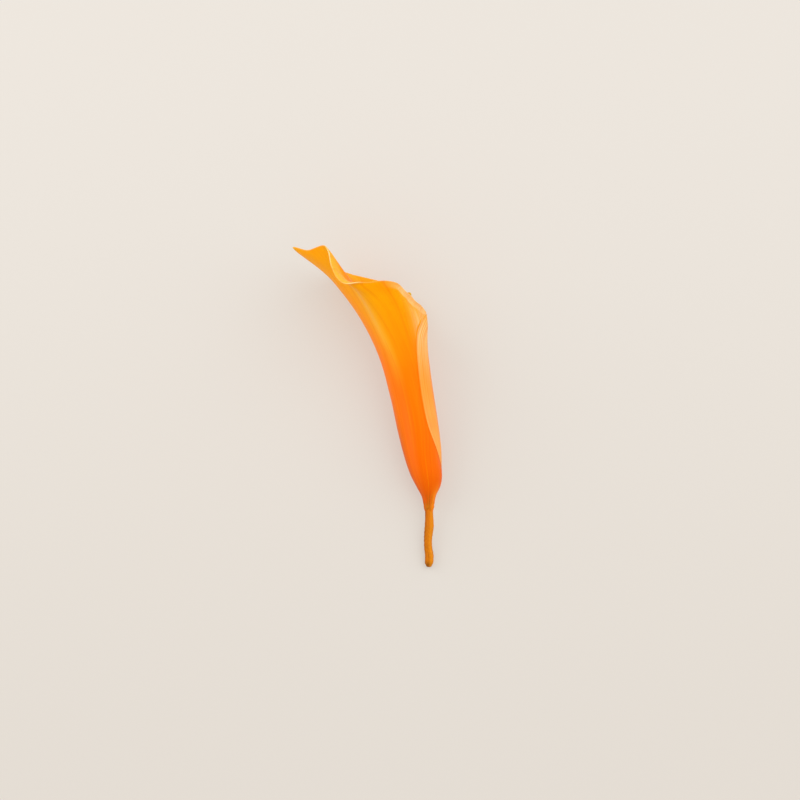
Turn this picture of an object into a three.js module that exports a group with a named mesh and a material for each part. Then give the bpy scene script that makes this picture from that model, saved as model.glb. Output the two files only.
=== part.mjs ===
// One calla lily bloom as cut: a rolled spathe round a spadix, on a short dried stem, lying down.
import * as THREE from 'three';

// Driving sizes in millimetres, angles in degrees
const SHEET = 0.7;
const GAP = 0.3;
const REST_TILT = 10.1;
const FLOOR_LEVEL = -5.9;
const CENTRE_X = -23.3;
const CENTRE_Y = 33.6;
const STEM_RADIUS = 1.45;
const STEM_RIDGE = 0.12;
const SPADIX_RADIUS = 3.1;
const FLORET_RELIEF = 0.3;
const RUFFLE_HEIGHT = 0.3;
const RUFFLE_PITCH = 14;
const PLEAT_HEIGHT = 0.12;
const TIP_REACH = [-5.9, 4.3];

// Hoops of the rolled tube, from the neck up to the mouth.
// back x, back y, front x, front y, depth towards the viewer, depth away, fold at the midrib,
// space between the two layers, reach of the outer flap, reach of the inner flap
const HOOPS = [
  [-1.6, -3.0, 1.9, -3.0, 1.8, 1.8, 0, 0, 26, -48],
  [-2.5, 0.4, 2.56, 0.4, 2.6, 2.6, 0, 0.3, 28, -44],
  [-4.4, 4.2, 4.4, 4.2, 4.3, 4.3, 0, 0.9, 30, -40],
  [-6.65, 8.7, 5.2, 8.7, 5.8, 5.8, 0, 1.0, 34, 0],
  [-9.1, 15.6, 4.6, 15.6, 6.8, 6.8, 0, 1.0, 46, 40],
  [-11.7, 25.5, 3.6, 25.5, 7.6, 7.6, 0, 1.0, 56, 62],
  [-14.55, 38.4, 2.15, 36.1, 8.3, 8.3, 0, 1.0, 60, 66],
  [-18.9, 53.6, 0.55, 47.5, 9.8, 9.8, 0, 1.0, 56, 58],
  [-25.9, 68.0, -0.7, 58.1, 12.6, 12.8, 0.05, 1.0, 44, 46],
  [-35.4, 80.9, -0.3, 65.0, 16.4, 17.8, 0.15, 1.15, 38, 38],
  [-45.7, 90.5, -0.4, 68.6, 20.0, 21.4, 0.3, 1.25, 35, 32],
];

// Crest of the rim by turn about the mouth: 0 midrib, 90 near side, 180 front, 270 far side
const RIM = [
  [0, -45.4, 90.3, 0.2],
  [9, -45.4, 91.6, 2.5],
  [19, -44.6, 93.0, 5.0],
  [30, -42.0, 94.2, 7.6],
  [40, -39.2, 94.6, 10.0],
  [50, -37.3, 92.2, 12.2],
  [60, -35.8, 87.2, 14.2],
  [72, -32.5, 82.8, 16.6],
  [84, -28.4, 80.4, 18.2],
  [96, -23.6, 80.6, 19.2],
  [106, -18.0, 81.1, 19.0],
  [118, -13.4, 79.5, 17.4],
  [131, -10.3, 76.0, 14.4],
  [145, -7.2, 72.5, 11.0],
  [161, -3.9, 69.3, 6.2],
  [176, -1.6, 68.0, 0.6],
  [190, -2.3, 68.6, -4.0],
  [203, -5.9, 71.6, -10.8],
  [218, -9.6, 75.4, -17.6],
  [234, -13.6, 78.4, -21.2],
  [250, -18.0, 80.8, -22.0],
  [266, -22.2, 82.2, -22.0],
  [282, -26.8, 83.5, -20.8],
  [298, -31.2, 84.8, -18.4],
  [312, -35.0, 86.0, -15.0],
  [326, -38.8, 87.6, -11.0],
  [340, -43.0, 89.4, -6.2],
  [351, -44.8, 90.1, -2.4],
  [360, -45.4, 90.3, 0.2],
];

// Rolled margin by turn: width along the sheet, radius of the roll
const ROLL = [
  [0, 0.3, 6],
  [20, 0.5, 5],
  [34, 0.8, 4],
  [44, 0.9, 2.4],
  [51, 2.0, 1.8],
  [60, 3.8, 1.7],
  [70, 4.4, 1.7],
  [79, 3.8, 1.8],
  [87, 2.0, 1.9],
  [94, 0.9, 2.2],
  [110, 0.8, 2.0],
  [122, 1.8, 1.5],
  [133, 2.4, 1.6],
  [149, 2.7, 1.5],
  [164, 2.4, 1.4],
  [178, 1.0, 1.5],
  [188, 0.3, 2.0],
  [196, 0.3, 2.0],
  [206, 1.2, 1.6],
  [220, 2.0, 1.9],
  [236, 1.4, 3.2],
  [250, 1.0, 5],
  [284, 1.0, 5],
  [300, 1.4, 4],
  [322, 1.4, 3.6],
  [340, 0.8, 4.5],
  [360, 0.3, 6],
];

// Rows up the sheet, as a share of its height, and rows over the rolled margin
const ROWS = [
  0, 0.05, 0.1, 0.15, 0.2, 0.26, 0.33, 0.4, 0.47, 0.54, 0.6, 0.66, 0.71, 0.76, 0.8, 0.84, 0.875,
  0.905, 0.93, 0.955, 0.98, 1,
];
const ROLL_ROWS = [0.25, 0.5, 0.75, 1];

// Columns round the sheet at the mouth: turn where a stretch ends, degrees a column in it
const STRETCHES = [
  [-178, 6],
  [-98, 4],
  [-20, 8],
  [20, 5],
  [44, 6],
  [96, 5],
  [116, 6.5],
  [184, 3],
  [212, 7],
];

// Axis of the stem, from just under the neck to the cut end: x, y
const STEM_LINE = [
  [0.14, -3.45],
  [0.3, -10.2],
  [0.04, -13.4],
  [-0.2, -16.4],
  [-0.1, -19.4],
  [0.3, -22.4],
  [0.18, -26.0],
];

// Top of the stem inside the neck, where spathe and spadix grow from it: height, radius
const STEM_HEAD = [
  [2.95, 0.7],
  [2.6, 1.25],
  [1.8, 1.6],
  [0.4, 1.3],
  [-1.5, 0.85],
  [-2.6, 0.65],
  [-3.35, 0.65],
];

const rad = THREE.MathUtils.degToRad;

function smooth(low, high, value) {
  return THREE.MathUtils.smoothstep(value, low, high);
}

// A smooth run through rows of numbers at even steps
function evenRun(rows, place) {
  const last = rows.length - 1;
  const i = Math.min(Math.max(Math.floor(place), 0), last - 1);
  const f = place - i;
  return rows[0].map((unused, k) => {
    const b = rows[i][k];
    const c = rows[i + 1][k];
    const a = i > 0 ? rows[i - 1][k] : 2 * b - c;
    const d = i + 2 <= last ? rows[i + 2][k] : 2 * c - b;
    const square = 2 * a - 5 * b + 4 * c - d;
    const cube = 3 * b - a - 3 * c + d;
    return 0.5 * (2 * b + (c - a) * f + square * f ** 2 + cube * f ** 3);
  });
}

// A smooth closed run through rows of numbers at stated turns
function turnRun(rows, turn) {
  const last = rows.length - 1;
  const at = ((turn % 360) + 360) % 360;
  let i = 0;
  while (i < last - 1 && at >= rows[i + 1][0]) i += 1;
  const step = (k) => {
    const j = (k + last) % last;
    return rows[j + 1][0] - rows[j][0];
  };
  const h = step(i);
  const f = (at - rows[i][0]) / h;
  return rows[0].slice(1).map((unused, k) => {
    const rise = (n) => {
      const j = (n + last) % last;
      return (rows[j + 1][k + 1] - rows[j][k + 1]) / step(j);
    };
    const m0 = (rise(i) * step(i - 1) + rise(i - 1) * h) / (step(i - 1) + h);
    const m1 = (rise(i + 1) * h + rise(i) * step(i + 1)) / (step(i + 1) + h);
    const a = rows[i][k + 1];
    const b = rows[i + 1][k + 1];
    return (
      (2 * f ** 3 - 3 * f * f + 1) * a +
      (f ** 3 - 2 * f * f + f) * h * m0 +
      (3 * f * f - 2 * f ** 3) * b +
      (f ** 3 - f * f) * h * m1
    );
  });
}

const TOP_HOOP = HOOPS[HOOPS.length - 1];

function hoopAt(height) {
  return evenRun(HOOPS, height * (HOOPS.length - 1));
}

// A point on one hoop of the tube, at the middle of the sheet
function onHoop(turn, hoop, space) {
  const [backX, backY, frontX, frontY, near, far, fold] = hoop;
  const long = Math.hypot(frontX - backX, frontY - backY);
  const ex = (frontX - backX) / long;
  const ey = (frontY - backY) / long;
  const c = Math.cos(rad(turn));
  const shift = space * (-turn / 360 - 0.25 * (1 - c));
  const half = long / 2 - SHEET / 2 + shift;
  const depth = (((turn % 360) + 360) % 360 < 180 ? near : far) - SHEET / 2 + shift;
  const pinch = Math.abs(Math.sin(rad(turn / 2))) ** Math.max(fold, 0);
  return new THREE.Vector3(
    (backX + frontX) / 2 - half * c * ex,
    (backY + frontY) / 2 - half * c * ey,
    depth * Math.sin(rad(turn)) * pinch,
  );
}

// Turn of a column, which the flaps stretch or shorten with the height
function turnAt(across, height) {
  const hoop = hoopAt(height);
  return across * (180 + (across >= 0 ? hoop[9] : hoop[8]));
}

// Middle of the sheet: across -1 outer flap to 1 inner flap, height 0 neck to 1 mouth
function sheetPoint(across, height) {
  const hoop = hoopAt(height);
  const turn = turnAt(across, height);
  const point = onHoop(turn, hoop, hoop[7]);
  const pull = Math.min(Math.max((height - 0.55) / 0.45, 0), 1) ** 2.2;
  const crest = new THREE.Vector3(...turnRun(RIM, turn));
  point.addScaledVector(crest.sub(onHoop(turn, TOP_HOOP, 0)), pull);
  const reach = smooth(0.88, 1, height);
  const slim = Math.exp(-((turn / 12) ** 2));
  point.x += TIP_REACH[0] * reach ** 1.5 * slim;
  point.y += TIP_REACH[1] * reach * slim;
  return point;
}

// Height that a column reaches: the flaps stay below the lip, with rounded corners
function topOf(across) {
  const turn = turnAt(across, 1);
  const corner = Math.min(Math.max((Math.abs(across) - 0.88) / 0.12, 0), 1);
  return (
    1 -
    0.036 * smooth(164, 180, -turn) -
    0.02 * smooth(180, 214, -turn) -
    0.03 * smooth(184, 198, turn) -
    0.04 * corner ** 3
  );
}

// Wave of the lip, strongest on both sides of the front
function ruffle(turn) {
  const at = ((turn % 360) + 360) % 360;
  const nearLip = smooth(108, 134, at) * (1 - smooth(168, 180, at));
  const farLip = 0.8 * smooth(196, 212, at) * (1 - smooth(232, 250, at));
  const phase = (2 * Math.PI * at) / RUFFLE_PITCH;
  return (nearLip + farLip) * Math.sin(phase + 0.7 * Math.sin(0.31 * phase));
}

// Creases gathered into the neck
function neckCrease(turn, height) {
  return 0.05 * Math.cos(rad(5 * turn)) * (1 - smooth(0.12, 0.3, height));
}

function columnList() {
  const list = [];
  let turn = -180 - TOP_HOOP[8];
  for (const [end, pitch] of STRETCHES) {
    const count = Math.max(1, Math.round((end - turn) / pitch));
    for (let i = 0; i < count; i += 1) list.push(turn + ((end - turn) * i) / count);
    turn = end;
  }
  list.push(180 + TOP_HOOP[9]);
  return list.map((t) => t / (180 + (t >= 0 ? TOP_HOOP[9] : TOP_HOOP[8])));
}

function gridNormals(grid) {
  return grid.map((column, i) =>
    column.map((unused, j) => {
      const left = grid[Math.max(i - 1, 0)][j];
      const right = grid[Math.min(i + 1, grid.length - 1)][j];
      const low = column[Math.max(j - 1, 0)];
      const high = column[Math.min(j + 1, column.length - 1)];
      const along = right.clone().sub(left);
      return along.cross(high.clone().sub(low)).normalize();
    }),
  );
}

// Grid of points up the sheet and over its rolled margin
function sheetGrid() {
  const slip = 0.002;
  const columns = columnList();
  const turns = [];
  const heights = [];
  const grid = columns.map((across) => {
    const top = topOf(across);
    const points = ROWS.map((row) => sheetPoint(across, row * top));
    const ahead = sheetPoint(Math.min(across + slip, 1), top);
    const along = ahead.sub(sheetPoint(Math.max(across - slip, -1), top));
    const up = sheetPoint(across, top).sub(sheetPoint(across, top - slip)).normalize();
    along.normalize();
    let out = along.clone().cross(up).normalize();
    const square = out.clone().cross(along).normalize();
    if (square.dot(up) < 0) square.negate();
    const turn = turnAt(across, top);
    const flat = Math.max(smooth(184, 194, turn), smooth(166, 178, -turn));
    const [wide, round] = turnRun(ROLL, turn);
    const width = wide * (1 - flat) + 0.5 * flat;
    const radius = round * (1 - flat) + 8 * flat;
    const rise = square.multiplyScalar(1 - flat).addScaledVector(up, flat).normalize();
    out = along.clone().cross(rise).normalize();
    const crest = points[points.length - 1];
    for (const share of ROLL_ROWS) {
      const bend = (share * width) / radius;
      const point = crest.clone().addScaledVector(rise, radius * Math.sin(bend));
      points.push(point.addScaledVector(out, radius * (1 - Math.cos(bend))));
    }
    turns.push(turn);
    heights.push([...ROWS.map((row) => row * top), ...ROLL_ROWS.map(() => top)]);
    return points;
  });
  const normals = gridNormals(grid);
  grid.forEach((column, i) => {
    column.forEach((point, j) => {
      const height = heights[i][j];
      const wave = RUFFLE_HEIGHT * ruffle(turns[i]) * smooth(0.9, 1, height);
      const pleat = PLEAT_HEIGHT * ruffle(turns[i]) * smooth(0.72, 0.9, height);
      point.addScaledVector(normals[i][j], wave + pleat + neckCrease(turns[i], height));
    });
  });
  return grid;
}

// From the upright bloom to the bloom lying on the surface
const TILT_COS = Math.cos(rad(REST_TILT));
const TILT_SIN = Math.sin(rad(REST_TILT));

function lay(point) {
  return new THREE.Vector3(
    point.x - CENTRE_X,
    point.y * TILT_COS - point.z * TILT_SIN - CENTRE_Y,
    point.y * TILT_SIN + point.z * TILT_COS - FLOOR_LEVEL,
  );
}

function solidFrom(positions, faces) {
  const geometry = new THREE.BufferGeometry();
  const numbers = positions.flatMap((p) => [p.x, p.y, p.z]);
  geometry.setAttribute('position', new THREE.Float32BufferAttribute(numbers, 3));
  let volume = 0;
  for (const [a, b, c] of faces) {
    volume += positions[a].dot(positions[b].clone().cross(positions[c]));
  }
  geometry.setIndex(faces.flatMap(([a, b, c]) => (volume > 0 ? [a, b, c] : [a, c, b])));
  return geometry;
}

// Closed sheet of even thickness round a grid of points
function sheetSolid(grid) {
  const normals = gridNormals(grid);
  const tall = grid[0].length;
  const half = SHEET / 2;
  const face = (step) =>
    grid.flatMap((column, i) => column.map((p, j) => p.clone().addScaledVector(normals[i][j], step)));
  const outer = face(half);
  const inner = face(-half);
  const shift = outer.length;
  const faces = [];
  const at = (i, j) => i * tall + j;
  for (let i = 0; i < grid.length - 1; i += 1) {
    for (let j = 0; j < tall - 1; j += 1) {
      const [a, b, c, d] = [at(i, j), at(i + 1, j), at(i + 1, j + 1), at(i, j + 1)];
      faces.push([a, b, c], [a, c, d]);
      faces.push([shift + a, shift + c, shift + b], [shift + a, shift + d, shift + c]);
    }
  }
  const edge = [];
  for (let i = 0; i < grid.length - 1; i += 1) edge.push(at(i, 0));
  for (let j = 0; j < tall - 1; j += 1) edge.push(at(grid.length - 1, j));
  for (let i = grid.length - 1; i > 0; i -= 1) edge.push(at(i, tall - 1));
  for (let j = tall - 1; j > 0; j -= 1) edge.push(at(0, j));
  edge.forEach((a, k) => {
    const b = edge[(k + 1) % edge.length];
    faces.push([a, shift + a, shift + b], [a, shift + b, b]);
  });
  return solidFrom([...outer, ...inner], faces);
}

// Closed solid through rings of points, with a flat or pointed cap at each end
function ringSolid(rings) {
  const sides = rings[0].length;
  const positions = rings.flat();
  const faces = [];
  for (let r = 0; r < rings.length - 1; r += 1) {
    for (let s = 0; s < sides; s += 1) {
      const a = r * sides + s;
      const b = r * sides + ((s + 1) % sides);
      faces.push([a, b, b + sides], [a, b + sides, a + sides]);
    }
  }
  const cap = (ring, start, flip) => {
    const centre = ring.reduce((sum, p) => sum.add(p), new THREE.Vector3()).divideScalar(sides);
    positions.push(centre);
    for (let s = 0; s < sides; s += 1) {
      const a = start + s;
      const b = start + ((s + 1) % sides);
      faces.push(flip ? [positions.length - 1, b, a] : [positions.length - 1, a, b]);
    }
  };
  cap(rings[0], 0, true);
  cap(rings[rings.length - 1], (rings.length - 1) * sides, false);
  return solidFrom(positions, faces);
}

// Laid on the surface: what would sink into it is pressed flat against it
function laidGrid(grid, height) {
  return grid.map((column) =>
    column.map((point) => {
      const laid = lay(point);
      laid.z = Math.max(laid.z, height);
      return laid;
    }),
  );
}

function spatheGeometry() {
  return sheetSolid(laidGrid(sheetGrid(), SHEET / 2));
}

// Stem with soft ridges, kinked a little and drying towards its cut end
function stemGeometry() {
  const sides = 16;
  const steps = 18;
  const rings = STEM_HEAD.map(([y, radius]) =>
    Array.from({ length: sides }, (unused, s) => {
      const angle = (2 * Math.PI * s) / sides;
      return new THREE.Vector3(0.08 + radius * Math.cos(angle), y, radius * Math.sin(angle));
    }),
  );
  const ringAt = (share, scale, drop) => {
    const [x, y] = evenRun(STEM_LINE, share * (STEM_LINE.length - 1));
    return Array.from({ length: sides }, (unused, s) => {
      const angle = (2 * Math.PI * s) / sides;
      const swell = STEM_RADIUS * 0.06 * Math.sin(9 * share);
      const ridge = STEM_RIDGE * Math.cos(4 * angle + 2.5 * share);
      const radius = (STEM_RADIUS + swell + ridge) * scale;
      return new THREE.Vector3(x + radius * Math.cos(angle), y - drop, radius * Math.sin(angle));
    });
  };
  for (let i = 0; i <= steps; i += 1) rings.push(ringAt(i / steps, 1, 0));
  rings.push(ringAt(1, 0.82, 0.35));
  rings.push(ringAt(1, 0.5, 0.62));
  return ringSolid(laidGrid(rings, 0));
}

// Spadix: a finger covered with florets in crossing spirals
function spadixGeometry() {
  const sides = 26;
  const rows = 46;
  const axisAt = (y) => {
    const low = [0, 3.7];
    const high = [-9.3, 52];
    const share = Math.max((y - low[1]) / (high[1] - low[1]), 0);
    return low[0] + (high[0] - low[0]) * share ** 1.25;
  };
  const rings = [];
  for (let r = 0; r <= rows; r += 1) {
    const share = r / rows;
    const y = 2.95 + GAP + 0.15 + 47.5 * share;
    const swell = 0.52 + 0.48 * smooth(0, 0.2, share);
    const taper = Math.sqrt(Math.max(1 - smooth(0.55, 1.02, share) ** 2 * 0.96, 0));
    rings.push(
      Array.from({ length: sides }, (unused, s) => {
        const relief = (r + s) % 2 === 0 ? FLORET_RELIEF : 0;
        const fade = smooth(0.02, 0.08, share);
        const radius = SPADIX_RADIUS * swell * taper + relief * fade * (0.4 + 0.6 * taper);
        const angle = (2 * Math.PI * s) / sides;
        return new THREE.Vector3(axisAt(y) + radius * Math.cos(angle), y, radius * Math.sin(angle));
      }),
    );
  }
  return ringSolid(rings.map((ring) => ring.map(lay)));
}

function piece(name, geometry, colour, roughness) {
  const mesh = new THREE.Mesh(geometry, new THREE.MeshStandardMaterial({ color: colour, roughness }));
  mesh.name = name;
  return mesh;
}

const bloom = new THREE.Group();
bloom.name = 'calla_bloom';
bloom.add(piece('stem', stemGeometry(), 0xc8761e, 0.7));
bloom.add(piece('spathe', spatheGeometry(), 0xff8c14, 0.5));
bloom.add(piece('spadix', spadixGeometry(), 0xf2b632, 0.7));

export default bloom;
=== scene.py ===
"""Looks of one calla lily bloom as cut, lying on a pale surface.

Each node gets one modelled piece: the spathe, the spadix and the short dried stem. Shapes are
worked out upright in millimetres, with the neck near the origin, and then laid down in the part's
frame. "turn" is the place round the trumpet in degrees: 0 at the midrib, 90 on the near side and
180 at the front. "height" runs from 0 at the neck to 1 at the mouth.
"""

import logging
import math
from dataclasses import dataclass, field
from enum import Enum

import bpy
import numpy as np
from mathutils import Matrix, Vector


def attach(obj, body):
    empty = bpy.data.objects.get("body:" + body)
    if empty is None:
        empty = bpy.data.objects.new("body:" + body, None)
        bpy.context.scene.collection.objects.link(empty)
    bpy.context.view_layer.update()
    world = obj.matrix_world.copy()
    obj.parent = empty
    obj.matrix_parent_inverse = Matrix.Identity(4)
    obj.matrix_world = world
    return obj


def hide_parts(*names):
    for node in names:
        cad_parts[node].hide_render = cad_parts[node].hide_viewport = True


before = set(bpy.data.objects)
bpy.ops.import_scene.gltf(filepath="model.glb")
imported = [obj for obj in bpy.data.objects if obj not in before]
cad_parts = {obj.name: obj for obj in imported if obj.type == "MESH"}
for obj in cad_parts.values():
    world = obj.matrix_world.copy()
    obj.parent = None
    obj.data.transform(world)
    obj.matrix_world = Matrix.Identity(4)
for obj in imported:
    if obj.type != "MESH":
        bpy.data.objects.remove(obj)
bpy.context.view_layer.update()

LOG = logging.getLogger("bloom")
Rows = tuple[tuple[float, ...], ...]
Colour = tuple[float, float, float]
Pair = tuple[float, float]
Span = tuple[float, float, float, float]
MM = 0.001
DEGREE = math.pi / 180.0
REST_TILT = math.radians(10.1)


class Face(Enum):
    """The two faces of the petal sheet and the edge between them, as stored under "inner"."""

    OUTER = 0.0
    EDGE = 0.5
    INNER = 1.0


# Shader maths


class Field:
    """A value or colour that varies over a surface: one output socket of a material."""

    def __init__(self, shade: "Shade", socket: bpy.types.NodeSocket) -> None:
        """Keeps the material and its output socket."""
        self.shade = shade
        self.socket = socket

    def _with(self, operation: str, other: "Field | float", flip: bool = False) -> "Field":
        """Adds a Math node.

        Args:
            operation: Name of the node's operation.
            other: The other value.
            flip: Whether the other value comes first.

        Returns:
            The result.
        """
        pair = (other, self) if flip else (self, other)
        return self.shade.node("ShaderNodeMath", {"operation": operation}, {0: pair[0], 1: pair[1]})

    def __add__(self, other: "Field | float") -> "Field":
        """Sum."""
        return self._with("ADD", other)

    __radd__ = __add__

    def __sub__(self, other: "Field | float") -> "Field":
        """Difference."""
        return self._with("SUBTRACT", other)

    def __rsub__(self, other: float) -> "Field":
        """Difference with the value first."""
        return self._with("SUBTRACT", other, flip=True)

    def __mul__(self, other: "Field | float") -> "Field":
        """Product."""
        return self._with("MULTIPLY", other)

    __rmul__ = __mul__

    def magnitude(self) -> "Field":
        """Distance from zero."""
        return self._with("ABSOLUTE", 0.0)

    def wave(self) -> "Field":
        """Sine of the value in radians."""
        return self._with("SINE", 0.0)

    def step(self, low: float, high: float) -> "Field":
        """Smooth rise from 0 at low to 1 at high, or a fall where high is the lower."""
        if high < low:
            return 1.0 - self.step(high, low)
        settings = {"interpolation_type": "SMOOTHSTEP"}
        return self.shade.node("ShaderNodeMapRange", settings, {0: self, 1: low, 2: high})

    def bell(self, centre: float, width: float) -> "Field":
        """Soft hump that is 1 at the centre and has gone at a distance of width."""
        return (self - centre).magnitude().step(width, 0.0)


Layer = tuple[Field | Colour, Field | float]


class Shade:
    """One material under construction."""

    def __init__(self, name: str) -> None:
        """Makes an empty material of that name."""
        self.material = bpy.data.materials.new(name)
        self.material.use_nodes = True
        self.tree = self.material.node_tree
        self.tree.nodes.clear()

    def node(self, kind: str, settings: dict, values: dict, output: int | str = 0) -> Field:
        """Adds any node.

        Args:
            kind: Type name of the node.
            settings: Properties set first; "stops" holds a ramp's positions and colours.
            values: Value or field for each input, by index or name.
            output: Which output the result stands for.

        Returns:
            The output as a field.
        """
        made = self.tree.nodes.new(kind)
        for name, value in settings.items():
            if name == "stops":
                self._stops(made.color_ramp, value)
            else:
                setattr(made, name, value)
        for key, value in values.items():
            self.put(made.inputs[key], value)
        return Field(self, made.outputs[output])

    def _stops(self, ramp: bpy.types.ColorRamp, stops: list[tuple[float, Colour]]) -> None:
        """Fills a ramp with stops in rising order."""
        while len(ramp.elements) < len(stops):
            ramp.elements.new(1.0)
        for element, (position, colour) in zip(ramp.elements, stops):
            element.position = position
            element.color = (*colour, 1.0)

    def put(self, socket: bpy.types.NodeSocket, value: "Field | float | tuple") -> None:
        """Links a field to an input, or sets a number, vector or colour on it."""
        if isinstance(value, Field):
            self.tree.links.new(value.socket, socket)
        elif isinstance(value, tuple) and len(value) < len(socket.default_value):
            socket.default_value = (*value, 1.0)
        else:
            socket.default_value = value

    def stored(self, name: str) -> Field:
        """Values stored on the mesh under a name."""
        return self.node("ShaderNodeAttribute", {"attribute_name": name}, {}, "Fac")

    def vector(self, x: Field, y: Field, z: Field | float) -> Field:
        """Vector of three values."""
        return self.node("ShaderNodeCombineXYZ", {}, {0: x, 1: y, 2: z})

    def ramp(self, place: Field, stops: list[tuple[float, Colour]]) -> Field:
        """Colour along a ramp."""
        return self.node("ShaderNodeValToRGB", {"stops": stops}, {0: place})

    def noise(self, where: Field, scale: float, detail: float) -> Field:
        """Soft noise from 0 to 1.

        Args:
            where: Vector that the noise is read at.
            scale: How fine the pattern is.
            detail: How many finer layers it holds.

        Returns:
            The noise.
        """
        values = {"Vector": where, "Scale": scale, "Detail": detail}
        return self.node("ShaderNodeTexNoise", {}, values)

    def streaks(self, turn: Field, along: Field, seed: Field | float, detail: float) -> Field:
        """Soft noise from 0 to 1, drawn out along a piece.

        Args:
            turn: Place round the piece, scaled up for narrower streaks.
            along: Place along the piece, scaled up for shorter streaks.
            seed: Which pattern it is.
            detail: How many finer layers it holds.

        Returns:
            The noise.
        """
        return self.noise(self.vector(turn, along, seed), 1.0, detail)

    def mix(self, low: Field | Colour, high: Field | Colour, share: Field | float) -> Field:
        """Colour between two: low where the share is 0, high where it is 1."""
        values = {0: share, 6: low, 7: high}
        return self.node("ShaderNodeMix", {"data_type": "RGBA"}, values, 2)

    def layers(self, body: Field | Colour, *layers: Layer) -> Field:
        """Colours laid over a body colour in order, each by its own share."""
        for colour, share in layers:
            body = self.mix(body, colour, share)
        return body

    def bump(self, height: Field, depth: float, strength: float) -> Field:
        """Normal bent by a height.

        Args:
            height: Height of the relief.
            depth: Size of one unit of height in metres.
            strength: Share of the effect.

        Returns:
            The normal.
        """
        values = {"Height": height, "Distance": depth, "Strength": strength}
        return self.node("ShaderNodeBump", {}, values)

    def finish(self, values: dict) -> bpy.types.Material:
        """Adds the surface shader and the output.

        Args:
            values: Value or field for each of the shader's inputs, by name.

        Returns:
            The finished material.
        """
        surface = self.node("ShaderNodeBsdfPrincipled", {}, values)
        made = self.tree.nodes.new("ShaderNodeOutputMaterial")
        self.tree.links.new(surface.socket, made.inputs["Surface"])
        return self.material


@dataclass(frozen=True)
class Place:
    """Stored values that say where a point lies on the petal; the margin's are millimetres."""

    turn: Field
    height: Field
    margin: Field


@dataclass(frozen=True)
class Patch:
    """Soft patch of colour, with its centre and reach by turn and by height."""

    colour: Colour
    turn: Pair
    height: Pair
    weight: float

    def layer(self, at: Place) -> Layer:
        """The patch as a layer."""
        mask = at.turn.bell(*self.turn) * at.height.bell(*self.height)
        return self.colour, mask * self.weight


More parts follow.
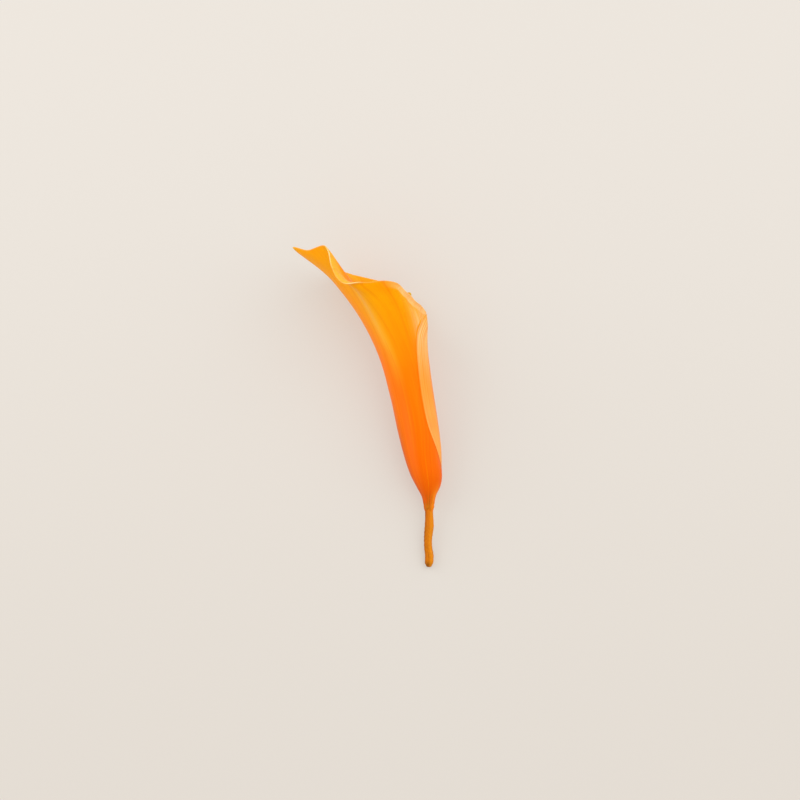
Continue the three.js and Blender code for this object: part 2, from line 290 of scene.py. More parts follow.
@dataclass(frozen=True)
class PetalFinish:
    """Waxy petal: amber at the rim, deep orange at the base, with soft streaks and fine veins."""

    # colours up the outer face, with the height of each
    neck: Colour = (0.66, 0.115, 0.003)
    base: Colour = (0.74, 0.092, 0.001)
    middle: Colour = (0.92, 0.135, 0.001)
    upper: Colour = (0.99, 0.195, 0.001)
    rim: Colour = (1.0, 0.37, 0.001)
    heights: tuple[float, ...] = (0.0, 0.07, 0.36, 0.68, 0.92)
    # round the neck, and where the petal runs out on the stem
    foot: Colour = (0.64, 0.15, 0.004)
    pale_neck: Colour = (1.0, 0.25, 0.008)
    fibre: Colour = (0.40, 0.115, 0.008)
    # midrib side, the lap over the front, and the pleats and lip at its top
    # edge is painted shade; flap, peach and margin are painted light, in part real on the lap and
    # lip
    edge: Colour = (0.64, 0.1, 0.001)
    flap: Colour = (1.0, 0.37, 0.05)
    peach: Colour = (1.0, 0.58, 0.22)
    margin: Colour = (1.0, 0.72, 0.32)
    green: Colour = (0.60, 0.46, 0.01)
    # long marks on the near side: painted sheen, a painted highlight, painted light on a shaded
    # fold
    painted_sheen_streak: Patch = Patch((0.97, 0.165, 0.017), (52.0, 24.0), (0.46, 0.32), 0.6)
    painted_highlight_band: Patch = Patch((1.0, 0.45, 0.006), (54.0, 46.0), (0.86, 0.24), 0.75)
    fold: Patch = Patch((1.0, 0.50, 0.04), (55.0, 20.0), (0.8, 0.2), 0.55)
    # inner face; rolled is painted light on the rolled near margin
    inside: Colour = (0.90, 0.26, 0.002)
    inside_rim: Colour = (1.0, 0.40, 0.012)
    rolled: Colour = (1.0, 0.45, 0.05)
    # turns between which the edge of the lap runs down the near side
    lap_edge: Pair = (-192.6, -190.4)
    # how much the veins, the fine lines and the clouds show
    pale_vein: float = 0.2
    dark_vein: float = 0.24
    line: float = 0.14
    cloud: float = 0.3
    # metres of one unit of relief, and the share of its effect
    relief: Pair = (0.00012, 0.5)
    roughness: float = 0.38
    specular: float = 0.2
    sheen: Colour = (1.0, 0.5, 0.08)
    glow_share: float = 0.08
    glow_depth: float = 0.0015
    glow_reach: Colour = (1.0, 0.3, 0.05)

    def material(self) -> bpy.types.Material:
        """Builds the petal's material."""
        shade = Shade("petal")
        turn, along = shade.stored("turn"), shade.stored("along")
        at = Place(turn, shade.stored("height"), shade.stored("margin"))
        inner = shade.stored("inner").step(0.4, 0.6)
        veins = shade.streaks(turn * 0.2, along * 0.018, inner * 9.0, 4.0)
        fine = shade.streaks(turn * 0.75, along * 0.04, inner * 5.0, 2.0)
        cloud = shade.streaks(turn * 0.03, along * 0.05, inner * 3.0, 3.0)
        colour = shade.layers(
            self._outside(shade, at),
            (self._inside(shade, at), inner),
            *self._rim_marks(at),
            (self.rim, veins.step(0.52, 0.72) * self.pale_vein),
            (self.base, veins.step(0.47, 0.3) * (self.dark_vein - 0.1 * inner)),
            (self.rim, fine.step(0.52, 0.75) * self.line),
            (self.base, fine.step(0.48, 0.28) * self.line),
            (self.middle, cloud.step(0.52, 0.8) * self.cloud),
        )
        return shade.finish(
            {
                "Base Color": colour,
                "Roughness": self.roughness + 0.1 * cloud,
                "Normal": shade.bump(veins * 0.7 + fine * 0.3, *self.relief),
                "Subsurface Weight": self.glow_share,
                "Subsurface Scale": self.glow_depth,
                "Subsurface Radius": self.glow_reach,
                "Specular IOR Level": self.specular,
                "Specular Tint": self.sheen,
            }
        )

    def _rim_marks(self, at: Place) -> tuple[Layer, ...]:
        """Painted highlights on the rolled near margin's crests; green left at rim and tip."""
        crest = at.margin.step(0.4, 0.1) * at.height.step(0.9, 0.95)
        lines = at.turn.bell(50.0, 13.0) + at.turn.bell(85.0, 11.0)
        bruise = at.turn.bell(-110.0, 5.0) + at.turn.bell(-149.0, 9.0)
        tip = at.turn.magnitude().step(8.0, 1.0) * at.height.step(0.98, 1.0)
        return (
            (self.margin, crest * (lines * 0.7 + 0.15)),
            (self.green, bruise * at.margin.step(1.8, 0.3) * 0.6),
            (self.green, tip * 0.35),
        )

    def _outside(self, shade: Shade, at: Place) -> Field:
        """Colour of the outer face.

        Args:
            shade: The material.
            at: Where on the petal.

        Returns:
            The colour.
        """
        turn, height, margin = at.turn, at.height, at.margin
        colours = (self.neck, self.base, self.middle, self.upper, self.rim)
        # painted shade: the midrib side darker, most of all low down
        side = turn.bell(0.0, 46.0) * height.step(0.66, 0.42)
        # the lap has strands along it, and pleats below the lip on both sides of its edge
        lap = turn.step(-136.0, -164.0) * turn.step(*self.lap_edge)
        lines = shade.streaks(turn * 0.5, height * 1.1, 4.0, 2.0)
        strands = shade.streaks(turn * 0.36, height * 1.6, 12.0, 3.0).step(0.34, 0.66)
        # painted light in part: the lap paler, as where light falls on it
        pale_and_painted_light = lap * height.step(0.1, 0.36) * height.step(1.0, 0.84)
        # painted highlights along the pleats
        painted_pleat_highlights = lines.step(0.4, 0.58) * height.bell(0.84, 0.22)
        painted_pleat_highlights = painted_pleat_highlights * (lap + turn.step(122.0, 150.0))
        front = turn.step(112.0, 160.0) * height.bell(0.87, 0.2)
        # painted light in part: the paler lip, where the top of its roll catches the light
        lip = margin.step(3.6, 2.2) * turn.step(104.0, 132.0) * turn.step(196.0, 180.0)
        lap_lip = margin.step(1.8, 0.4) * turn.step(-150.0, -172.0) * 0.6
        lip = (lip + lap_lip) * (0.35 + 0.75 * lines) * height.step(0.88, 0.94)
        return shade.layers(
            shade.ramp(height, list(zip(self.heights, colours))),
            *self._neck(shade, at),
            (self.edge, side * 0.85),
            (self.flap, pale_and_painted_light * (0.5 + 0.5 * strands)),
            (self.peach, lap * height.bell(0.47, 0.22) * 0.25),
            (self.flap, front * 0.55),
            (self.margin, painted_pleat_highlights * 0.62),
            # painted sheen, painted highlight and painted light on a shaded fold
            *(patch.layer(at) for patch in (self.painted_sheen_streak, self.painted_highlight_band, self.fold)),
            (self.green, turn.bell(43.0, 9.0) * margin.step(3.5, 0.5) * 0.4),
            (self.peach, lip),
        )

    def _neck(self, shade: Shade, at: Place) -> tuple[Layer, ...]:
        """Round the neck: ochre on the stem, a bright front, and dark fibres."""
        bright = at.turn.step(100.0, 150.0)
        fibres = shade.streaks(at.turn * 0.13, at.height * 7.0, 8.0, 3.0).step(0.42, 0.62)
        fibres = fibres * at.height.step(0.17, 0.05) * (0.85 - 0.5 * bright)
        return (
            (self.foot, at.height.step(0.03, -0.012)),
            (self.pale_neck, bright * at.height.step(0.26, 0.1) * 0.85),
            (self.fibre, fibres),
        )

    def _inside(self, shade: Shade, at: Place) -> Field:
        """Colour of the inner face, paler at the margin and most of all at the lip."""
        # painted light: paler where the rolled near margin faces the light, and in part at the lip
        near = at.turn.bell(70.0, 40.0) * at.margin.step(6.5, 2.5)
        lip = at.turn.bell(148.0, 44.0) * at.margin.step(5.0, 1.5)
        return shade.layers(
            self.inside,
            (self.inside_rim, at.margin.step(9.0, 1.0)),
            (self.rolled, near * 0.9),
            (self.peach, lip * 0.7),
        )


@dataclass(frozen=True)
class StemFinish:
    """Dried green stem turned ochre, darker on its kinks and at the cut end."""

    top: Colour = (0.60, 0.125, 0.004)
    ochre: Colour = (0.62, 0.165, 0.004)
    brown_and_painted_shade: Colour = (0.27, 0.08, 0.004)
    pale_and_painted_light: Colour = (0.85, 0.28, 0.008)
    sheen: Colour = (1.0, 0.6, 0.2)
    # side, in degrees, painted paler as lit; the far side is painted darker as shade
    painted_light_side: float = 30.0
    relief: Pair = (0.0002, 0.7)

    def material(self) -> bpy.types.Material:
        """Builds the stem's material."""
        shade = Shade("dried_stem")
        turn = shade.stored("turn")
        along = shade.stored("along")
        length = shade.stored("height")
        round_way = (turn * DEGREE).wave()
        grain = shade.vector(round_way * 2.6, turn * 0.05, along * 0.09)
        lines = shade.noise(grain, 2.2, 4.0)
        patches = shade.noise(shade.vector(round_way, along * 0.16, 3.0), 1.4, 3.0)
        # painted light and shade: the side facing the light paler, the far side darker
        side = ((turn - self.painted_light_side) * DEGREE + math.pi / 2).wave()
        stops = [(0.0, self.top), (0.25, self.ochre), (0.9, self.ochre), (1.0, self.brown_and_painted_shade)]
        body = shade.layers(
            shade.ramp(length, stops),
            (self.brown_and_painted_shade, lines.step(0.52, 0.72) * 0.55),
            (self.pale_and_painted_light, lines.step(0.46, 0.3) * 0.5),
            (self.brown_and_painted_shade, patches.step(0.52, 0.72) * 0.45),
            (self.pale_and_painted_light, side.step(0.3, 0.95) * 0.65),
            (self.brown_and_painted_shade, side.step(0.1, -0.8) * 0.5),
        )
        return shade.finish(
            {
                "Base Color": body,
                "Roughness": 0.5 + 0.2 * patches,
                "Normal": shade.bump(lines, *self.relief),
                "Specular IOR Level": 0.2,
                "Specular Tint": self.sheen,
            }
        )


@dataclass(frozen=True)
class FloretFinish:
    """Powdery florets: yellow crowns, orange in the furrows between them."""

    crown: Colour = (0.90, 0.52, 0.06)
    furrow: Colour = (0.55, 0.20, 0.012)
    powder: Colour = (1.0, 0.78, 0.30)
    relief: Pair = (0.0001, 0.6)

    def material(self) -> bpy.types.Material:
        """Builds the spadix's material."""
        shade = Shade("florets")
        crown = shade.stored("crown")
        turn = shade.stored("turn")
        along = shade.stored("along")
        round_way = (turn * DEGREE).wave()
        grain = shade.noise(shade.vector(round_way * 3.0, turn * 0.05, along), 6.0, 3.0)
        body = shade.layers(
            self.furrow,
            (self.crown, crown.step(0.1, 0.75)),
            (self.powder, grain.step(0.5, 0.7) * crown.step(0.4, 0.9) * 0.7),
        )
        return shade.finish(
            {
                "Base Color": body,
                "Roughness": 0.75 + 0.15 * grain,
                "Normal": shade.bump(grain, *self.relief),
                "Specular IOR Level": 0.3,
            }
        )


@dataclass(frozen=True)
class SurfaceFinish:
    """Plain pale surface that the bloom lies on, softly lit from below as on a light table."""

    # painted light: the surface is lighter towards its upper edge
    # colours at the photo's lower and upper edge, and how far those are from the middle
    low: Colour = (0.69, 0.638, 0.572)
    high: Colour = (0.735, 0.686, 0.622)
    reach: float = 0.17
    # share of the colour that takes light, and the light that the surface gives off itself
    share: float = 0.45
    glow: float = 0.6
    # how fine its grain is
    grain: float = 900.0
    relief: Pair = (0.0001, 0.1)

    def material(self) -> bpy.types.Material:
        """Builds the surface's material."""
        shade = Shade("pale_surface")
        place = shade.node("ShaderNodeTexCoord", {}, {}, "Object")
        y = shade.node("ShaderNodeSeparateXYZ", {}, {0: place}, 1)
        colour = shade.mix(self.low, self.high, y.step(-self.reach, self.reach))
        return shade.finish(
            {
                "Base Color": shade.mix((0.0, 0.0, 0.0), colour, self.share),
                "Emission Color": colour,
                "Emission Strength": self.glow,
                "Roughness": 0.9,
                "Normal": shade.bump(shade.noise(place, self.grain, 2.0), *self.relief),
                "Specular IOR Level": 0.1,
            }
        )


# Curves and frames shared by the pieces


def smooth(low: float, high: float, value: np.ndarray | float) -> np.ndarray:
    """Smooth rise from 0 at low to 1 at high.

    Args:
        low: Value where the result is 0.
        high: Value where the result is 1.
        value: The values.

    Returns:
        The rise at each value.
    """
    share = np.clip((np.asarray(value, float) - low) / (high - low), 0.0, 1.0)
    return share * share * (3.0 - 2.0 * share)


def window(span: Span, value: np.ndarray) -> np.ndarray:
    """Smooth rise between the first two values of a span and fall between the last two."""
    start, full, fade, end = span
    return smooth(start, full, value) * (1.0 - smooth(fade, end, value))


def even_run(rows: Rows, place: np.ndarray) -> np.ndarray:
    """A smooth run through rows of numbers at even steps.

    Args:
        rows: The rows.
        place: Where to read the run, 0 at the first row, one more at each row.

    Returns:
        One row of numbers for each place.
    """
    table = np.asarray(rows, float)
    table = np.vstack([2 * table[0] - table[1], table, 2 * table[-1] - table[-2]])
    index = np.clip(np.floor(place).astype(int), 0, len(rows) - 2)
    f = (place - index)[..., None]
    a, b, c, d = (table[index + k] for k in range(4))
    square = 2 * a - 5 * b + 4 * c - d
    cube = 3 * b - a - 3 * c + d
    return 0.5 * (2 * b + (c - a) * f + square * f**2 + cube * f**3)


def turn_run(rows: Rows, turn: np.ndarray) -> np.ndarray:
    """A smooth closed run through rows of numbers at stated turns.

    Args:
        rows: The rows: turn in degrees, then the numbers.
        turn: Where to read the run.

    Returns:
        One row of numbers for each turn.
    """
    table = np.asarray(rows, float)
    keys, values = table[:, 0], table[:, 1:]
    steps = np.diff(keys)
    rises = np.diff(values, axis=0) / steps[:, None]
    before, earlier = np.roll(rises, 1, axis=0), np.roll(steps, 1)
    slopes = (rises * earlier[:, None] + before * steps[:, None]) / (earlier + steps)[:, None]
    at = np.mod(turn, 360.0)
    i = np.clip(np.searchsorted(keys, at, side="right") - 1, 0, len(steps) - 1)
    j = (i + 1) % len(steps)
    h = steps[i][..., None]
    f = (at - keys[i])[..., None] / h
    start = (2 * f**3 - 3 * f**2 + 1) * values[i] + (f**3 - 2 * f**2 + f) * h * slopes[i]
    return start + (3 * f**2 - 2 * f**3) * values[i + 1] + (f**3 - f**2) * h * slopes[j]


def unit(vectors: np.ndarray) -> np.ndarray:
    """Vectors brought to length 1."""
    return vectors / np.maximum(np.linalg.norm(vectors, axis=-1, keepdims=True), 1e-12)


def grid_normals(grid: np.ndarray) -> np.ndarray:
    """Normals of a grid of points by columns and rows."""
    columns = np.pad(grid, ((1, 1), (0, 0), (0, 0)), mode="edge")
    rows = np.pad(grid, ((0, 0), (1, 1), (0, 0)), mode="edge")
    return unit(np.cross(columns[2:] - columns[:-2], rows[:, 2:] - rows[:, :-2]))


@dataclass(frozen=True)
class Lying:
    """How the upright bloom, in millimetres, lies on the surface."""

    tilt: float = REST_TILT
    # height of the surface, and where the middle of the part's box lies
    level: float = -5.9
    centre_x: float = -23.3
    centre_y: float = 33.6

    def lay(self, points: np.ndarray) -> np.ndarray:
        """Points of the upright bloom, laid down.

        Args:
            points: Points of the upright bloom.

        Returns:
            The same points in the part's frame, still in millimetres.
        """
        x, y, z = points[..., 0], points[..., 1], points[..., 2]
        cos, sin = math.cos(self.tilt), math.sin(self.tilt)
        along = y * cos - z * sin - self.centre_y
        up = y * sin + z * cos - self.level
        return np.stack([x - self.centre_x, along, up], axis=-1)

    def pressed(self, points: np.ndarray, height: float) -> np.ndarray:
        """Points laid down, with none left below a height, in millimetres."""
        laid = self.lay(points)
        laid[..., 2] = np.maximum(laid[..., 2], height)
        return laid


@dataclass
class Skin:
    """A closed mesh under construction, in millimetres, with the values stored on its points."""

    points: np.ndarray
    faces: list[tuple[int, ...]]
    values: dict[str, np.ndarray]

    def piece(self, name: str, slot: str, material: bpy.types.Material) -> bpy.types.Object:
        """Makes the Blender object, which stands for the node of the same slot.

        Args:
            name: Name of the piece.
            slot: Node that it stands for, whose imported part is hidden.
            material: Its material.

        Returns:
            The object, riding on the part's body.
        """
        mesh = bpy.data.meshes.new(name)
        mesh.from_pydata((self.points * MM).tolist(), [], self.faces)
        mesh.update()
        mesh.polygons.foreach_set("use_smooth", [True] * len(mesh.polygons))
        for key, numbers in self.values.items():
            stored = mesh.attributes.new(key, "FLOAT", "POINT")
            stored.data.foreach_set("value", numbers.ravel().astype(np.float32))
        mesh.materials.append(material)
        made = bpy.data.objects.new(name, mesh)
        bpy.context.scene.collection.objects.link(made)
        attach(made, "root")
        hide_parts(slot)
        LOG.info("%s: %d points, %d faces", name, len(self.points), len(self.faces))
        return made


def ring_skin(rings: np.ndarray, values: dict[str, np.ndarray]) -> Skin:
    """Closed skin through rings of points, with a cap at each end.

    Args:
        rings: Points by ring and side.
        values: Numbers by ring and side for each stored value.

    Returns:
        The skin.
    """
    count, sides = rings.shape[:2]
    index = np.arange(count * sides).reshape(count, sides)
    after = np.roll(index, -1, axis=1)
    quads = np.stack([index[:-1], index[1:], after[1:], after[:-1]], axis=-1).reshape(-1, 4)
    faces = [tuple(q) for q in quads.tolist()]
    points = np.vstack([rings.reshape(-1, 3), rings[0].mean(0)[None], rings[-1].mean(0)[None]])
    first, last = count * sides, count * sides + 1
    for s in range(sides):
        faces.append((int(index[0, s]), int(after[0, s]), first))
        faces.append((int(after[-1, s]), int(index[-1, s]), last))
    ends = {key: [v[0].mean(), v[-1].mean()] for key, v in values.items()}
    stored = {key: np.concatenate([v.ravel(), ends[key]]) for key, v in values.items()}
    return Skin(points, faces, stored)


# The pieces

# places in a hoop's row of the space between the layers and of the two reaches
SPACE, OUTER_REACH, INNER_REACH = 7, 8, 9


@dataclass
class Spathe:
    """The petal-like leaf, rolled into a trumpet with its margin lapped over the near side."""

    lying: Lying
    # thickness of the sheet, and of its margin, the lap's edge, the neck and the foot
    sheet: float = 0.7
    margin_sheet: float = 0.34
    flap_edge: float = 0.05
    neck_sheet: float = 0.26
    foot_sheet: float = 0.12
    margin_width: float = 2.6
    # degrees over which the lap leans on the layer below, and the distance left between them
    flap_reach: float = 42.0
    flap_rest: float = 0.405
    corner_rest: float = 0.05
    # degrees over which the lap's and the inner layer's corner round off, and by what height
    outer_corner: Pair = (14.0, 0.022)
    inner_corner: Pair = (25.0, 0.03)
    # height and pitch in degrees of the ruffles on both sides of the front, and their turns
    near_ruffle: Pair = (0.16, 21.0)
    near_lip: Span = (108, 134, 168, 180)
    far_ruffle: Pair = (0.2, 14.0)
    far_lip: Span = (196, 212, 232, 250)
    # heights and counts of the tube's creases, the folds and the neck's wrinkles
    crease: Pair = (0.05, 5.0)
    folds: Pair = (0.02, 31.0)
    fold_heights: Span = (0.5, 0.72, 0.9, 0.97)
    wrinkles: Pair = (0.07, 13.0)
    # depth, turn and width of the slit where the margins part at the neck
    slit: tuple[float, float, float] = (0.16, 142.0, 7.0)
    # x and y by which the tip runs out, and degrees over which it does
    tip_reach: Pair = (-5.9, 4.3)
    tip_width: float = 12.0
    # height above which the rim's crest pulls on the sheet, and how suddenly
    pull_start: float = 0.55
    pull_power: float = 2.2
    # how far the petal runs down the stem, and the share of the height that a millimetre counts
    foot_drop: float = 2.6
    foot_height: float = 0.01
    foot_centre: tuple[float, float, float] = (0.15, -3.0, 0.0)
    # turn and half width of the stretch that is eased beside the rolled margin, how softly the
    # easing ends, how many columns it takes in, and where it lies
    ease_turn: float = 58.0
    ease_width: float = 58.0
    ease_fade: float = 25.0
    ease_columns: int = 16
    ease_heights: Span = (0.5, 0.66, 0.93, 0.99)
    # rows of the tube, the rolled margin and the foot, and how much closer they are at the mouth
    row_count: int = 104
    roll_rows: int = 12
    foot_rows: int = 12
    crowding: float = 0.35
    # hoops up the tube: back x and y, front x and y, near and far depth, how far the back is
    # pinched to a fold, space between the layers, and outer and inner reach in degrees past 180
    hoops: Rows = (
        (-1.75, -3.0, 2.1, -3.0, 1.9, 1.9, 0, 0, -22, 15),
        (-2.6, 0.4, 3.0, 0.4, 2.7, 2.7, 0, 0.15, -22, 17),
        (-4.65, 4.2, 5.1, 4.2, 4.4, 4.3, 0, 0.5, -20, 19.5),
        (-6.95, 8.7, 5.95, 8.7, 5.8, 5.8, 0, 0.8, -10, 26),
        (-9.3, 15.6, 5.2, 15.6, 6.8, 6.8, 0, 1.0, 24, 40),
        (-11.8, 25.5, 4.05, 25.5, 7.6, 7.6, 0, 1.0, 57, 62),
        (-14.6, 38.4, 2.45, 36.1, 8.3, 8.3, 0, 1.0, 64, 66),
        (-18.9, 53.6, 0.7, 47.5, 9.8, 9.8, 0, 1.0, 58, 58),
        (-25.9, 68.0, -0.5, 58.1, 12.6, 12.8, 0.05, 1.0, 42, 46),
        (-35.4, 80.9, -0.1, 65.0, 16.4, 17.8, 0.15, 1.15, 24, 38),
        (-45.7, 90.5, -0.2, 68.6, 20.0, 21.4, 0.3, 1.25, 12, 32),
    )
    # turn about the mouth and crest of the rim: 0 midrib, 90 near side, 180 front, 270 far side
    rim: Rows = (
        (0, -45.4, 90.3, 0.2), (9, -45.4, 91.6, 2.5), (19, -44.6, 93.0, 5.0),
        (30, -42.0, 94.2, 7.6), (40, -39.2, 94.6, 10.0), (50, -37.3, 92.2, 12.2),
        (60, -35.8, 87.2, 14.2), (72, -32.5, 82.8, 16.6), (84, -28.4, 80.4, 18.2),
        (96, -23.6, 80.6, 19.2), (106, -18.0, 81.1, 19.0), (118, -12.9, 80.1, 17.4),
        (131, -9.7, 76.9, 14.4), (145, -6.4, 73.4, 11.0), (161, -2.6, 70.6, 6.2),
        (176, 0.0, 68.9, 0.6), (190, -2.1, 68.6, -4.0), (203, -5.6, 72.3, -10.8),
        (211, -7.3, 76.4, -14.2), (219, -9.6, 76.4, -17.8), (234, -13.6, 78.4, -21.2),
        (250, -18.0, 80.8, -22.0), (266, -22.2, 82.2, -22.0), (282, -26.8, 83.5, -20.8),
        (298, -31.2, 84.8, -18.4), (312, -35.0, 86.0, -15.0), (326, -38.8, 87.6, -11.0),
        (340, -43.0, 89.4, -6.2), (351, -44.8, 90.1, -2.4), (360, -45.4, 90.3, 0.2),
    )
    # rolled margin by turn: width along the sheet, radius of the roll
    roll: Rows = (
        (0, 0.3, 6), (20, 0.5, 5), (34, 0.8, 4), (44, 0.9, 2.4),
        (51, 0.9, 2.0), (60, 1.2, 1.8), (70, 2.3, 1.7), (79, 2.8, 1.8),
        (87, 2.0, 1.9), (94, 0.9, 2.2), (110, 0.8, 2.0), (122, 1.4, 1.5),
        (133, 1.9, 1.6), (149, 2.1, 1.5), (163, 1.5, 1.4), (175, 0.5, 1.5),
        (188, 0.5, 2.0), (196, 0.3, 2.0), (206, 1.2, 1.6), (220, 1.7, 2.2),
        (236, 1.3, 3.2), (250, 1.0, 5), (284, 1.0, 5), (300, 1.4, 4),
        (322, 1.4, 3.6), (340, 0.8, 4.5), (360, 0.3, 6),
    )
    # the same where a flap runs straight up
    flat_roll: Pair = (0.5, 8.0)
    # columns round the sheet: turn where a stretch ends, degrees a column in it
    stretches: Rows = (
        (-178, 0.8), (-98, 1.5), (-20, 2.6), (20, 1.7),
        (44, 1.6), (96, 1.2), (108, 1.6), (184, 0.9),
        (212, 1.8),
    )
    finish: PetalFinish = field(default_factory=PetalFinish)

    def _turn(self, across: np.ndarray, hoop: np.ndarray) -> np.ndarray:
        """Turn of a column, which the flaps stretch or shorten with the height."""
        reach = np.where(across >= 0, hoop[..., INNER_REACH], hoop[..., OUTER_REACH])
        return across * (180.0 + reach)

    def _hoop(self, height: np.ndarray) -> np.ndarray:
        """Hoop at each share of the height."""
        return even_run(self.hoops, height * (len(self.hoops) - 1))

    def _nearness(self, across: np.ndarray, hoop: np.ndarray) -> np.ndarray:
        """How close each point is to the lap's edge: 1 at the edge, 0 away from it."""
        degrees = (1.0 + across) * (180.0 + hoop[..., OUTER_REACH])
        return 1.0 - smooth(0.0, self.flap_reach, degrees)

    def _on_hoop(
        self, turn: np.ndarray, hoop: np.ndarray, space: np.ndarray, press: np.ndarray | float = 0.0
    ) -> np.ndarray:
        """Points on hoops of the tube, at the middle of the sheet.

        Args:
            turn: Turn of each point.
            hoop: Hoop of each point.
            space: Space between the two layers at each point.
            press: How far each point is pressed inwards.

        Returns:
            The points.
        """
        back_x, back_y, front_x, front_y, near, far, fold = np.moveaxis(hoop[..., :SPACE], -1, 0)
        long = np.hypot(front_x - back_x, front_y - back_y)
        angle = np.radians(turn)
        cos = np.cos(angle)
        shift = space * (-turn / 360.0 - 0.25 * (1.0 - cos)) - press
        half = long / 2 - self.sheet / 2 + shift
        depth = np.where(np.mod(turn, 360.0) < 180.0, near, far) - self.sheet / 2 + shift
        pinch = np.abs(np.sin(angle / 2)) ** np.maximum(fold, 0.0)
        x = (back_x + front_x) / 2 - half * cos * (front_x - back_x) / long
        y = (back_y + front_y) / 2 - half * cos * (front_y - back_y) / long
        return np.stack([x, y, depth * np.sin(angle) * pinch], axis=-1)

    def _points(self, across: np.ndarray, height: np.ndarray) -> np.ndarray:
        """Middle of the sheet.

        Args:
            across: -1 at the outer flap's edge to 1 at the inner flap's.
            height: 0 at the neck to 1 at the mouth.

        Returns:
            The points.
        """
        hoop = self._hoop(height)
        turn = self._turn(across, hoop)
        rest = self.flap_rest + self.corner_rest * smooth(0.76, 0.88, height)
        press = np.maximum(hoop[..., SPACE] - rest, 0.0) * self._nearness(across, hoop)
        point = self._on_hoop(turn, hoop, hoop[..., SPACE], press)
        pull = np.clip((height - self.pull_start) / (1.0 - self.pull_start), 0.0, 1.0)
        mouth = np.asarray(self.hoops[-1], float)
        crest = turn_run(self.rim, turn) - self._on_hoop(turn, mouth, np.zeros_like(turn))
        point = point + crest * pull[..., None] ** self.pull_power
        reach = smooth(0.88, 1.0, height)
        slim = np.exp(-((turn / self.tip_width) ** 2))
        point[..., 0] += self.tip_reach[0] * reach**1.5 * slim
        point[..., 1] += self.tip_reach[1] * reach * slim
        return point

    def _top(self, turn: np.ndarray) -> np.ndarray:
        """Height that each column reaches: both flaps stay below the lip, with round corners."""
        lap = turn < 0
        reach = np.where(lap, self.hoops[-1][OUTER_REACH], self.hoops[-1][INNER_REACH])
        degrees, rounding = np.where(lap[..., None], self.outer_corner, self.inner_corner).T
        corner = 1.0 - np.clip((180.0 + reach - np.abs(turn)) / degrees, 0.0, 1.0)
        below = 0.006 * smooth(160, 176, -turn) + 0.03 * smooth(184, 198, turn)
        return 1.0 - below - rounding * corner**3

    def _ripple(self, turn: np.ndarray, ruffle: Pair) -> np.ndarray:
        """A ruffle whose pitch wanders a little."""
        height, pitch = ruffle
        phase = 2 * math.pi * turn / pitch
        return height * np.sin(phase + 0.7 * np.sin(0.31 * phase))

    def _ruffle(self, turn: np.ndarray) -> np.ndarray:
        """Wave of the lip, on both sides of the front."""
        at = np.mod(turn, 360.0)
        near = window(self.near_lip, at) * self._ripple(at, self.near_ruffle)
        return near + window(self.far_lip, at) * self._ripple(at, self.far_ruffle)

    def _columns(self) -> np.ndarray:
        """Places of the columns, from -1 to 1."""
        outer, inner = self.hoops[-1][OUTER_REACH], self.hoops[-1][INNER_REACH]
        turn, turns = -180.0 - outer, []
        for end, pitch in (*self.stretches[:-1], (180.0 + inner, self.stretches[-1][1])):
            count = max(1, round((end - turn) / pitch))
            turns.extend(turn + (end - turn) * np.arange(count) / count)
            turn = end
        turns = np.asarray([*turns, 180.0 + inner])
        return turns / (180.0 + np.where(turns >= 0, inner, outer))

    def _grid(self) -> tuple[np.ndarray, np.ndarray, dict[str, np.ndarray]]:
        """The whole sheet, from the foot on the stem to the rolled margin.

        Returns:
            The middle of the sheet by column and row, its thickness, and the stored values.
        """
        across = self._columns()
        top = self._top(self._turn(across, np.asarray(self.hoops[-1], float)))
        turn = self._turn(across, self._hoop(top))
        share = np.linspace(0.0, 1.0, self.row_count)
        share = share + self.crowding * share * (1.0 - share)
        height = share[None, :] * top[:, None]
        grid = self._points(np.broadcast_to(across[:, None], height.shape), height)
        grid = np.concatenate([grid, self._rolled(grid[:, -1], across, top, turn)], axis=1)
        height = np.concatenate([height, np.repeat(top[:, None], self.roll_rows, axis=1)], axis=1)
        grid = self._softened(grid, turn, height)
        foot = self._foot(grid[:, 0], turn)
        grid = np.concatenate([foot, grid], axis=1)
        drop = np.linspace(self.foot_drop, 0.0, self.foot_rows, endpoint=False)
        drop = np.broadcast_to(-drop * self.foot_height, foot.shape[:2])
        height = np.concatenate([drop, height], axis=1)
        normals = grid_normals(grid)
        grid = grid + normals * self._relief(turn[:, None], height)[..., None]
        gaps = np.linalg.norm(np.diff(grid, axis=1), axis=-1)
        run = np.concatenate([np.zeros((len(grid), 1)), np.cumsum(gaps, axis=1)], axis=1)
        side = np.linalg.norm(np.diff(grid, axis=0), axis=-1)
        from_outer = np.concatenate([np.zeros((1, grid.shape[1])), np.cumsum(side, axis=0)])
        to_side = np.minimum(from_outer, from_outer[-1:] - from_outer)
        margin = np.minimum(run[:, -1:] - run, to_side)
        thickness, outwards = self._thickness(across, height, margin)
        turns = np.broadcast_to(turn[:, None], height.shape)
        values = {"turn": turns, "height": height, "margin": margin, "along": run}
        return grid + normals * outwards[..., None], thickness, values

